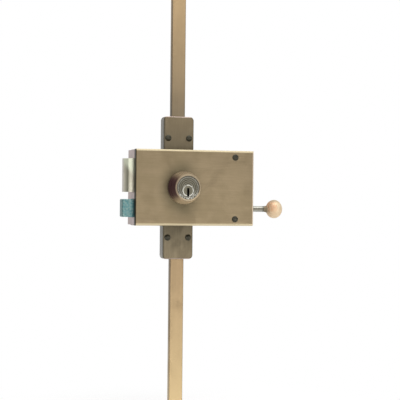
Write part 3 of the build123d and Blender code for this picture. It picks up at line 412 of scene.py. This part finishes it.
def dressCollar(metal):  # painted shade dark on the left, a warm painted highlight below and a pale painted highlight above
    tree = metal["tree"]
    x, y, z = metal["spot"]
    reach = distance(tree, x, z)
    up = maths(tree, "DIVIDE", z, reach)
    stain(metal, up, collarMarks["top"])
    stain(metal, up, collarMarks["low"])
    stain(metal, maths(tree, "DIVIDE", x, reach), collarMarks["left"])
    stain(metal, y, collarMarks["ring"], smooth=False)


faceMarks = {
    "front": (-0.0505, -0.0509), "pitch": 0.0021,
    "grit": 950.0, "gritDetail": 1.0, "lowSpeckleArea": (-0.004, -0.009),
    # painted highlight on the turned crests and painted shade in the grooves
    "crestHighlight": {"from": (-0.3, -0.9), "share": 0.7, "colour": seen(132, 128, 113)},
    "groove": {"from": (0.0, 0.8), "share": 0.8, "colour": seen(46, 42, 34)},
    # bright speckles low on the face are a painted highlight; dark speckles lie beside them
    "bright": {"from": (0.54, 0.62), "share": 0.7, "colour": seen(224, 222, 212)},
    "deep": {"from": (0.44, 0.36), "share": 0.7, "colour": seen(40, 38, 30)},
}


def dressFace(metal):  # turned grooves round the cylinder's face, with painted highlight on the crests, painted shade in the grooves, and bright and dark speckles low down, the bright ones a painted highlight
    tree = metal["tree"]
    x, y, z = metal["spot"]
    front = spread(tree, y, *faceMarks["front"])
    turns = maths(tree, "MULTIPLY", distance(tree, x, z), 2 * math.pi / faceMarks["pitch"])
    wave = maths(tree, "SINE", turns)
    stain(metal, wave, faceMarks["crestHighlight"], front)
    stain(metal, wave, faceMarks["groove"], front)
    settings = {"Vector": metal["place"], "Scale": faceMarks["grit"], "Detail": faceMarks["gritDetail"]}
    grit = addNode(tree, "ShaderNodeTexNoise", settings).outputs[0]
    low = maths(tree, "MULTIPLY", spread(tree, z, *faceMarks["lowSpeckleArea"], smooth=True), front)
    stain(metal, grit, faceMarks["bright"], low, smooth=False)
    stain(metal, grit, faceMarks["deep"], low, smooth=False)


plugMarks = {
    "middle": (0.0, -0.0035), "front": (-0.0505, -0.0509),
    # darker towards the middle of the plug
    "worn": {"from": (0.0048, 0.0012), "share": 0.75, "colour": seen(92, 88, 76)},
    # painted highlight on the plug's turned rim
    "rim": {"from": (0.0055, 0.0061), "share": 0.9, "colour": seen(206, 204, 194)},
    "rimHighlightPatches": {"Size": 0.004, "Low": 0.36, "High": 0.5},
    # painted shadow in and round the keyway
    "keyway": (0.0015, 0.0014), "keywayEnds": (-0.0103, -0.0004), "keywayShade": seen(14, 12, 10),
}


def dressPlug(metal):  # a painted highlight on the turned rim, darker towards the middle inside it, and painted shadow in the keyway
    tree = metal["tree"]
    x, y, z = metal["spot"]
    reach = distance(tree, x, z, plugMarks["middle"])
    front = spread(tree, y, *plugMarks["front"])
    stain(metal, reach, plugMarks["worn"], front)
    patches = placeGroup(tree, mottle, {"Place": metal["place"], **plugMarks["rimHighlightPatches"]})["Mask"]
    stain(metal, reach, plugMarks["rim"], maths(tree, "MULTIPLY", patches, front))
    low, high = plugMarks["keywayEnds"]
    inside = spread(tree, maths(tree, "ABSOLUTE", x), *plugMarks["keyway"])
    inside = maths(tree, "MULTIPLY", inside, maths(tree, "GREATER_THAN", z, low))
    inside = maths(tree, "MULTIPLY", inside, maths(tree, "LESS_THAN", z, high))
    tint(metal, inside, plugMarks["keywayShade"])


latchMarks = {
    # painted shade down the latch's bevel
    "bevelShadeStarts": (-0.0698, -0.0662),
    "bevelShade": {"from": (-0.0634, -0.0662), "share": 0.85, "colour": seen(122, 120, 102)},
    # greenish painted highlight high on the latch
    "latchHighlightAt": -0.062, "latchHighlightLean": 1.2,
    "latchHighlight": {"from": (0.013, 0.023), "share": 0.85, "colour": seen(238, 242, 216)},
    "tip": {"from": (-0.0692, -0.0702), "share": 0.7, "colour": seen(232, 228, 222)},
}


def dressLatch(metal):  # painted shade down the bevel, a greenish painted highlight high up, a rubbed tip
    tree = metal["tree"]
    x, y, z = metal["spot"]
    stain(metal, x, latchMarks["bevelShade"], spread(tree, x, *latchMarks["bevelShadeStarts"], smooth=True))
    across = maths(tree, "SUBTRACT", x, latchMarks["latchHighlightAt"])
    stain(metal, maths(tree, "MULTIPLY_ADD", across, latchMarks["latchHighlightLean"], z), latchMarks["latchHighlight"])
    stain(metal, x, latchMarks["tip"], smooth=False)


knobMarks = {
    "blushAt": (-0.0035, 0.0035), "blushPatches": {"Size": 0.0022, "Low": 0.4, "High": 0.58},
    "blush": {"from": (0.0085, 0.003), "share": 0.6, "colour": seen(255, 168, 112)},
    # painted shade darkening the top of the knob
    "top": {"from": (0.0062, 0.0104), "share": 0.6, "colour": seen(150, 128, 98)},
    # painted highlight, paler towards the knob's right end
    "paleEndHighlight": {"from": (0.108, 0.126), "share": 0.5, "colour": seen(246, 226, 188)},
    "neck": {"from": (0.1108, 0.1086), "share": 0.8, "colour": seen(84, 82, 60)},
}


def dressKnob(metal):  # a warm blush, painted shade on the top, a painted highlight towards the right end, and a dull ring at the neck
    tree = metal["tree"]
    x, y, z = metal["spot"]
    low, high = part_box("pull_knob")
    middle = (low + high) / 2
    across, up = knobMarks["blushAt"]
    away = distance(tree, x, z, (middle.x + across, middle.z + up))
    patches = placeGroup(tree, mottle, {"Place": metal["place"], **knobMarks["blushPatches"]})["Mask"]
    stain(metal, away, knobMarks["blush"], patches)
    stain(metal, maths(tree, "SUBTRACT", z, middle.z), knobMarks["top"])
    stain(metal, x, knobMarks["paleEndHighlight"])
    stain(metal, x, knobMarks["neck"])


stemMarks = {
    # painted reflection: a dark line along the middle height of the stem
    "line": {"from": (0.0012, 0.0004), "share": 0.8, "colour": seen(66, 56, 36)},
    "end": {"from": (0.102, 0.104), "share": 0.7, "colour": seen(60, 58, 44)},
}


def dressStem(metal):  # a painted reflection as a dark line along the middle of the stem, and dark where the knob is screwed on
    tree = metal["tree"]
    x, y, z = metal["spot"]
    low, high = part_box("pull_stem")
    away = maths(tree, "ABSOLUTE", maths(tree, "SUBTRACT", z, (low.z + high.z) / 2))
    stain(metal, away, stemMarks["line"])
    stain(metal, x, stemMarks["end"])


looks = {
    "bronze_lacquered_steel": (bronzeCase, dressCase),
    "bronze_guides": (bronzeGuides, dressGuides),
    "bronze_collar": (bronzeCollar, dressCollar),
    "bronze_rods": (bronzeRods, dressRods),
    "nickel_plated_steel": (nickelStrip, None),
    "nickel_plated_brass": (nickelTurned, dressFace),
    "zinc_plated_steel": (zincSheet, None),
    "bright_steel": (brightSteel, None),
    "gear_steel": (gearSteel, None),
    "spring_steel": (springSteel, None),
    "dark_screws": (darkScrews, None),
    "green_bolt_steel": (greenBolt, None),
    "cream_latch_steel": (creamLatch, dressLatch),
    "peach_brass": (peachBrass, dressKnob),
    "brass": (cutBrass, None),
    "plug_nickel": (nickelPlug, dressPlug),
    "stem_steel": (stemSteel, dressStem),
}
for finishName, (look, dress) in looks.items():
    metal = makeMetal(finishName, look)
    if dress:
        dress(metal)
ownFinish = {"cylinder_plug": "plug_nickel", "pull_stem": "stem_steel"}  # nodes that differ from their slot
for part in record["subparts"]:
    piece = nodes[part["node"]]
    piece.data.materials.clear()
    piece.data.materials.append(finishes[ownFinish.get(part["node"], part["material_slot"])])
print("stage: finishes on", len(record["subparts"]), "nodes")


# Pieces grown by geometry nodes
def newShapeTree(name, numbers, wholes):  # an empty geometry node tree with named inputs
    tree = bpy.data.node_groups.new(name, "GeometryNodeTree")
    tree.interface.new_socket("Geometry", in_out="INPUT", socket_type="NodeSocketGeometry")
    for number in numbers:
        tree.interface.new_socket(number, in_out="INPUT", socket_type="NodeSocketFloat")
    for whole in wholes:
        tree.interface.new_socket(whole, in_out="INPUT", socket_type="NodeSocketInt")
    tree.interface.new_socket("Geometry", in_out="OUTPUT", socket_type="NodeSocketGeometry")
    return tree, tree.nodes.new("NodeGroupInput").outputs, tree.nodes.new("NodeGroupOutput").inputs


def vector(tree, x=0.0, y=0.0, z=0.0):
    return addNode(tree, "ShaderNodeCombineXYZ", {0: x, 1: y, 2: z}).outputs[0]


def move(tree, shape, **settings):
    return addNode(tree, "GeometryNodeTransform", {"Geometry": shape, **settings}).outputs[0]


def cylinder(tree, sides, radius, depth, segments=1):  # segments are rings across each end, to bend it by
    settings = {"Vertices": sides, "Side Segments": 1, "Fill Segments": segments, "Radius": radius,
                "Depth": depth}
    fill = "TRIANGLE_FAN" if segments > 1 else "NGON"
    return addNode(tree, "GeometryNodeMeshCylinder", settings, fill_type=fill).outputs["Mesh"]


def circle(tree, sides, radius):
    settings = {"Resolution": sides, "Radius": radius}
    return addNode(tree, "GeometryNodeCurvePrimitiveCircle", settings).outputs[0]


def sweepAlong(tree, path, profile, caps=False):
    settings = {"Curve": path, "Profile Curve": profile, "Fill Caps": caps}
    return addNode(tree, "GeometryNodeCurveToMesh", settings).outputs[0]


def takeAway(tree, shape, cutter):
    cut = addNode(tree, "GeometryNodeMeshBoolean", operation="DIFFERENCE", solver="EXACT")
    tree.links.new(shape, cut.inputs["Mesh 1"])
    tree.links.new(cutter, cut.inputs["Mesh 2"])
    return cut.outputs[0]


def placeOn(tree, points, shape, **settings):
    values = {"Points": points, "Instance": shape, **settings}
    return addNode(tree, "GeometryNodeInstanceOnPoints", values).outputs[0]


def realGeometry(tree, copies):
    return addNode(tree, "GeometryNodeRealizeInstances", {"Geometry": copies}).outputs[0]


def finishShape(tree, copies, material, put):  # real geometry in one finish, as the tree's result
    values = {"Geometry": realGeometry(tree, copies), "Material": material}
    tree.links.new(addNode(tree, "GeometryNodeSetMaterial", values).outputs[0], put["Geometry"])


def growPiece(name, tree, sizes, points, body, node=None, edgeAngle=30):  # runs a tree, keeps a plain mesh
    seeds = bpy.data.meshes.new(name + "Places")
    seeds.from_pydata(points, [], [])
    source = bpy.data.objects.new(name + "Source", seeds)
    bpy.context.scene.collection.objects.link(source)
    modifier = source.modifiers.new(name, "NODES")
    modifier.node_group = tree
    for item in tree.interface.items_tree:
        if item.in_out == "INPUT" and item.name in sizes:
            modifier[item.identifier] = sizes[item.name]
    bpy.context.view_layer.update()
    shape = bpy.data.meshes.new_from_object(source.evaluated_get(bpy.context.evaluated_depsgraph_get()))
    shape.name = name
    piece = bpy.data.objects.new(name, shape)
    bpy.context.scene.collection.objects.link(piece)
    shape.shade_smooth()
    shape.set_sharp_from_angle(angle=math.radians(edgeAngle))
    source.modifiers.remove(modifier)
    bpy.data.objects.remove(source)
    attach(piece, body)
    if node:
        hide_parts(node)
    print("stage:", name, len(shape.polygons), "faces")
    return piece


# Domed and slotted screws, one at each place of the solids they replace
screwSizes = {"headRadius": 0.00375, "headHeight": 0.002, "rim": 0.0006, "slotWidth": 0.0011,
              "slotDepth": 0.001, "shankRadius": 0.0019}
screwMesh = {"headSides": 48, "headRings": 8, "shankSides": 24, "topShare": 0.9, "slotLength": 2.4,
             "slotProud": 0.00001, "slotTurn": 0.25}
screwSets = {
    "coverScrews": {"node": "cover_screws", "shankLength": 0.0089, "seed": 3},
    "guideScrews": {"node": "guide_screws", "shankLength": 0.0094, "seed": 8},
}


def makeScrewTree():
    tree, given, put = newShapeTree("slottedScrews", (*screwSizes, "shankLength"), ("seed",))
    radius, height = given["headRadius"], given["headHeight"]
    head = cylinder(tree, screwMesh["headSides"], radius, height, screwMesh["headRings"])
    position = tree.nodes.new("GeometryNodeInputPosition").outputs[0]
    x, y, z = addNode(tree, "ShaderNodeSeparateXYZ", {0: position}).outputs
    square = maths(tree, "MULTIPLY_ADD", x, x, maths(tree, "MULTIPLY", y, y))
    share = maths(tree, "DIVIDE", square, maths(tree, "MULTIPLY", radius, radius))
    dome = maths(tree, "MULTIPLY", maths(tree, "SUBTRACT", height, given["rim"]), share)
    halfHeight = maths(tree, "MULTIPLY", height, 0.5)
    upper = maths(tree, "GREATER_THAN", z, maths(tree, "MULTIPLY", halfHeight, screwMesh["topShare"]))
    drop = maths(tree, "MULTIPLY", maths(tree, "MULTIPLY", dome, upper), -1.0)
    lift = vector(tree, z=maths(tree, "ADD", drop, halfHeight))
    domed = addNode(tree, "GeometryNodeSetPosition", {"Geometry": head, "Offset": lift}).outputs[0]
    length = maths(tree, "MULTIPLY", radius, screwMesh["slotLength"])
    slotSize = vector(tree, length, given["slotWidth"], given["slotDepth"])
    slotBox = addNode(tree, "GeometryNodeMeshCube", {"Size": slotSize}).outputs["Mesh"]
    slotTop = maths(tree, "SUBTRACT", height, maths(tree, "MULTIPLY", given["slotDepth"], 0.5))
    slotPlace = vector(tree, z=maths(tree, "ADD", slotTop, screwMesh["slotProud"]))
    slotted = takeAway(tree, domed, move(tree, slotBox, Translation=slotPlace))
    shank = cylinder(tree, screwMesh["shankSides"], given["shankRadius"], given["shankLength"])
    shankPlace = vector(tree, z=maths(tree, "MULTIPLY", given["shankLength"], -0.5))
    screw = addNode(tree, "GeometryNodeJoinGeometry")
    tree.links.new(slotted, screw.inputs[0])
    tree.links.new(move(tree, shank, Translation=shankPlace), screw.inputs[0])
    ends = {2: -screwMesh["slotTurn"], 3: screwMesh["slotTurn"], "Seed": given["seed"]}
    turn = addNode(tree, "FunctionNodeRandomValue", ends, data_type="FLOAT").outputs[1]
    facing = vector(tree, math.pi / 2, turn)
    finishShape(tree, placeOn(tree, given["Geometry"], screw.outputs[0], Rotation=facing),
                finishes["dark_screws"], put)
    return tree


def makeScrews(name, node, shankLength, seed):
    low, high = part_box(node)
    radius = screwSizes["headRadius"]
    xs = [(low.x + high.x) / 2]
    if high.x - low.x > 3 * radius:  # a box wider than one head holds two columns
        xs = [low.x + radius, high.x - radius]
    seat = low.y + screwSizes["headHeight"]
    points = [(x, seat, z) for z in (low.z + radius, high.z - radius) for x in xs]
    sizes = dict(screwSizes, shankLength=shankLength, seed=seed)
    screws = growPiece(name, makeScrewTree(), sizes, points, "case", node)


for screwName, screwSettings in screwSets.items():
    makeScrews(screwName, **screwSettings)

# Turned ridges round the cylinder's face, cut off where the plug is
ridgeSizes = {"firstRadius": 0.007875, "pitch": 0.0021, "height": 0.00028, "ridges": 3, "plugRadius": 0.0073,
              "plugDrop": 0.0035, "depth": 0.002}
ridgeMesh = {"sides": 96, "beadSides": 10, "plugSides": 64, "edgeAngle": 60}


def makeRidgeTree():
    lengths = [size for size in ridgeSizes if size != "ridges"]
    tree, given, put = newShapeTree("turnedRidges", lengths, ("ridges",))
    line = {"Count": given["ridges"], "Offset": (0.0, 0.0, 0.0)}
    places = addNode(tree, "GeometryNodeMeshLine", line).outputs[0]
    order = tree.nodes.new("GeometryNodeInputIndex").outputs[0]
    reach = maths(tree, "MULTIPLY_ADD", order, given["pitch"], given["firstRadius"])
    circles = placeOn(tree, places, circle(tree, ridgeMesh["sides"], 1.0), Scale=reach)
    bead = circle(tree, ridgeMesh["beadSides"], given["height"])
    beads = sweepAlong(tree, realGeometry(tree, circles), bead)
    core = cylinder(tree, ridgeMesh["plugSides"], given["plugRadius"], given["depth"])
    drop = vector(tree, y=maths(tree, "MULTIPLY", given["plugDrop"], -1.0))
    kept = takeAway(tree, beads, move(tree, core, Translation=drop))
    upright = move(tree, kept, Rotation=(math.pi / 2, 0.0, 0.0))
    finishShape(tree, placeOn(tree, given["Geometry"], upright), finishes["nickel_plated_brass"], put)
    return tree


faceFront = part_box("cylinder_body")[0].y
ridges = growPiece("faceRidges", makeRidgeTree(), ridgeSizes, [(0.0, faceFront, 0.0)], "case",
                   edgeAngle=ridgeMesh["edgeAngle"])

# Latch spring between the latch's lug and the stem's bush, which shortens in the real lock; it is grown here
# at one length
springSizes = {"wire": 0.0005, "turns": 8.0}
springMesh = {"steps": 36, "wireSides": 12}


def makeSpringTree():
    tree, given, put = newShapeTree("coiledSpring", ("wire", "turns", "radius", "length"), ())
    rise = maths(tree, "SUBTRACT", given["length"], maths(tree, "MULTIPLY", given["wire"], 2.0))
    settings = {"Resolution": springMesh["steps"], "Rotations": given["turns"], "Height": rise,
                "Start Radius": given["radius"], "End Radius": given["radius"]}
    coil = addNode(tree, "GeometryNodeCurveSpiral", settings).outputs[0]
    wire = sweepAlong(tree, coil, circle(tree, springMesh["wireSides"], given["wire"]), caps=True)
    lying = move(tree, wire, Rotation=(0.0, math.pi / 2, 0.0))
    finishShape(tree, placeOn(tree, given["Geometry"], lying), finishes["spring_steel"], put)
    return tree


def makeLatchSpring():
    low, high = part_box("latch_spring")
    middle = (low + high) / 2
    length = high.x - low.x
    sizes = dict(springSizes, length=length, radius=(high.z - low.z) / 2 - springSizes["wire"])
    start = (low.x + springSizes["wire"], middle.y, middle.z)
    spring = growPiece("latchSpring", makeSpringTree(), sizes, [start], "case", "latch_spring")
    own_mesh(spring)


makeLatchSpring()

# Studio
cameraView = {"distance": 1.5, "turn": 18.30, "rise": 0.01, "roll": 0.56, "focus": 110.99,
              "at": (0.0316, 0.0, -0.0143), "sensor": 36.0, "nearest": 0.01}
world = {"fill": 0.45, "front": 0.5, "left": 0.3, "up": 1.1, "behind": 0.7,
         "leftEnds": (-0.75, -0.2), "behindEnds": (-0.1, 0.5), "upEnds": (0.25, 0.65)}
ground = {"colour": 0.82, "lift": 0.5, "near": (0.1, 0.3), "radius": 4.0, "sides": 96, "gap": 0.0002}
lampAim = (0.02, -0.02, 0.0)
lamps = {
    "topBox": {"place": (0.15, -0.45, 1.1), "size": (1.1, 0.8), "power": 4.6},
    "frontBox": {"place": (0.5, -1.45, 0.05), "size": (0.9, 1.1), "power": 2.95},
    "lowBox": {"place": (0.3, -0.9, -0.2), "size": (0.9, 0.2), "power": 0.95},
}
white = (1.0, 1.0, 1.0, 1.0)


def makeCamera():
    turn, rise, roll = (math.radians(cameraView[angle]) for angle in ("turn", "rise", "roll"))
    back = Vector((-math.sin(turn) * math.cos(rise), -math.cos(turn) * math.cos(rise), math.sin(rise)))
    right = Vector((math.cos(turn), -math.sin(turn), 0))
    up = back.cross(right)
    tilted = right * math.cos(roll) + up * math.sin(roll)
    upright = back.cross(tilted)
    camera = bpy.data.objects.new("photoCamera", bpy.data.cameras.new("photoCamera"))
    bpy.context.scene.collection.objects.link(camera)
    place = Vector(cameraView["at"]) + back * cameraView["distance"]
    camera.matrix_world = Matrix.Translation(place) @ Matrix((tilted, upright, back)).transposed().to_4x4()
    camera.data.lens = cameraView["focus"]
    camera.data.sensor_width = cameraView["sensor"]
    camera.data.clip_start = cameraView["nearest"]
    bpy.context.scene.camera = camera


def makeLamp(name, lamp):
    light = bpy.data.lights.new(name, "AREA")
    light.shape = "RECTANGLE"
    light.size, light.size_y = lamp["size"]
    light.energy = lamp["power"]
    stand = bpy.data.objects.new(name, light)
    bpy.context.scene.collection.objects.link(stand)
    stand.location = lamp["place"]
    aim = Vector(lampAim) - Vector(lamp["place"])
    stand.rotation_euler = aim.to_track_quat("-Z", "Y").to_euler()


def seenBackdrop(tree, ray):  # 1 for what sees the backdrop: the camera, metal and glass
    shown = maths(tree, "MAXIMUM", ray["Is Glossy Ray"], ray["Is Transmission Ray"])
    return maths(tree, "MAXIMUM", ray["Is Camera Ray"], shown)


def makeWorld():  # metal sees a room that is brighter above and behind it than in front
    room = bpy.data.worlds.new("paleRoom")
    room.use_nodes = True
    bpy.context.scene.world = room
    tree = room.node_tree
    sky = tree.nodes["Background"]
    ray = addNode(tree, "ShaderNodeLightPath").outputs
    direction = addNode(tree, "ShaderNodeTexCoord").outputs["Generated"]
    x, y, z = addNode(tree, "ShaderNodeSeparateXYZ", {0: direction}).outputs
    front = spread(tree, x, *world["leftEnds"], world["left"], world["front"], smooth=True)
    behind = spread(tree, y, *world["behindEnds"], front, world["behind"], smooth=True)
    around = spread(tree, maths(tree, "ABSOLUTE", z), *world["upEnds"], behind, world["up"], smooth=True)
    reflected = mixColours(tree, ray["Is Glossy Ray"], white, around)
    fill = (world["fill"], world["fill"], world["fill"], 1.0)
    tree.links.new(mixColours(tree, seenBackdrop(tree, ray), fill, reflected), sky.inputs["Color"])
    sky.inputs["Strength"].default_value = 1.0


def makeFloor():
    mesh = bpy.data.meshes.new("floor")
    build = bmesh.new()
    bmesh.ops.create_circle(build, cap_ends=True, segments=ground["sides"], radius=ground["radius"])
    bmesh.ops.translate(build, verts=build.verts, vec=(0, 0, cadBox[0].z - ground["gap"]))
    build.to_mesh(mesh)
    build.free()
    floor = bpy.data.objects.new("floor", mesh)
    bpy.context.scene.collection.objects.link(floor)
    material = bpy.data.materials.new("paleFloor")
    material.use_nodes = True
    tree = material.node_tree
    tree.nodes.remove(tree.nodes["Principled BSDF"])
    shown = seenBackdrop(tree, addNode(tree, "ShaderNodeLightPath").outputs)
    pale = (ground["colour"], ground["colour"], ground["colour"], 1.0)
    matt = addNode(tree, "ShaderNodeBsdfDiffuse", {"Color": pale}).outputs[0]
    paleEndHighlight = {"Color": white, "Strength": maths(tree, "MULTIPLY", shown, ground["lift"])}
    lift = addNode(tree, "ShaderNodeEmission", paleEndHighlight).outputs[0]
    near = addNode(tree, "ShaderNodeAddShader", {0: matt, 1: lift}).outputs[0]
    far = addNode(tree, "ShaderNodeEmission", {"Color": white, "Strength": 1.0}).outputs[0]
    place = addNode(tree, "ShaderNodeTexCoord").outputs["Object"]
    x, y, z = addNode(tree, "ShaderNodeSeparateXYZ", {0: place}).outputs
    away = spread(tree, distance(tree, x, y), *ground["near"], smooth=True)
    ends = {0: maths(tree, "MULTIPLY", away, shown), 1: near, 2: far}
    both = addNode(tree, "ShaderNodeMixShader", ends).outputs[0]
    tree.links.new(both, tree.nodes["Material Output"].inputs["Surface"])
    mesh.materials.append(material)


makeCamera()
for lampName, lampSettings in lamps.items():
    makeLamp(lampName, lampSettings)
makeWorld()
makeFloor()
bpy.context.scene.view_settings.view_transform = "Standard"
print("stage: studio ready")
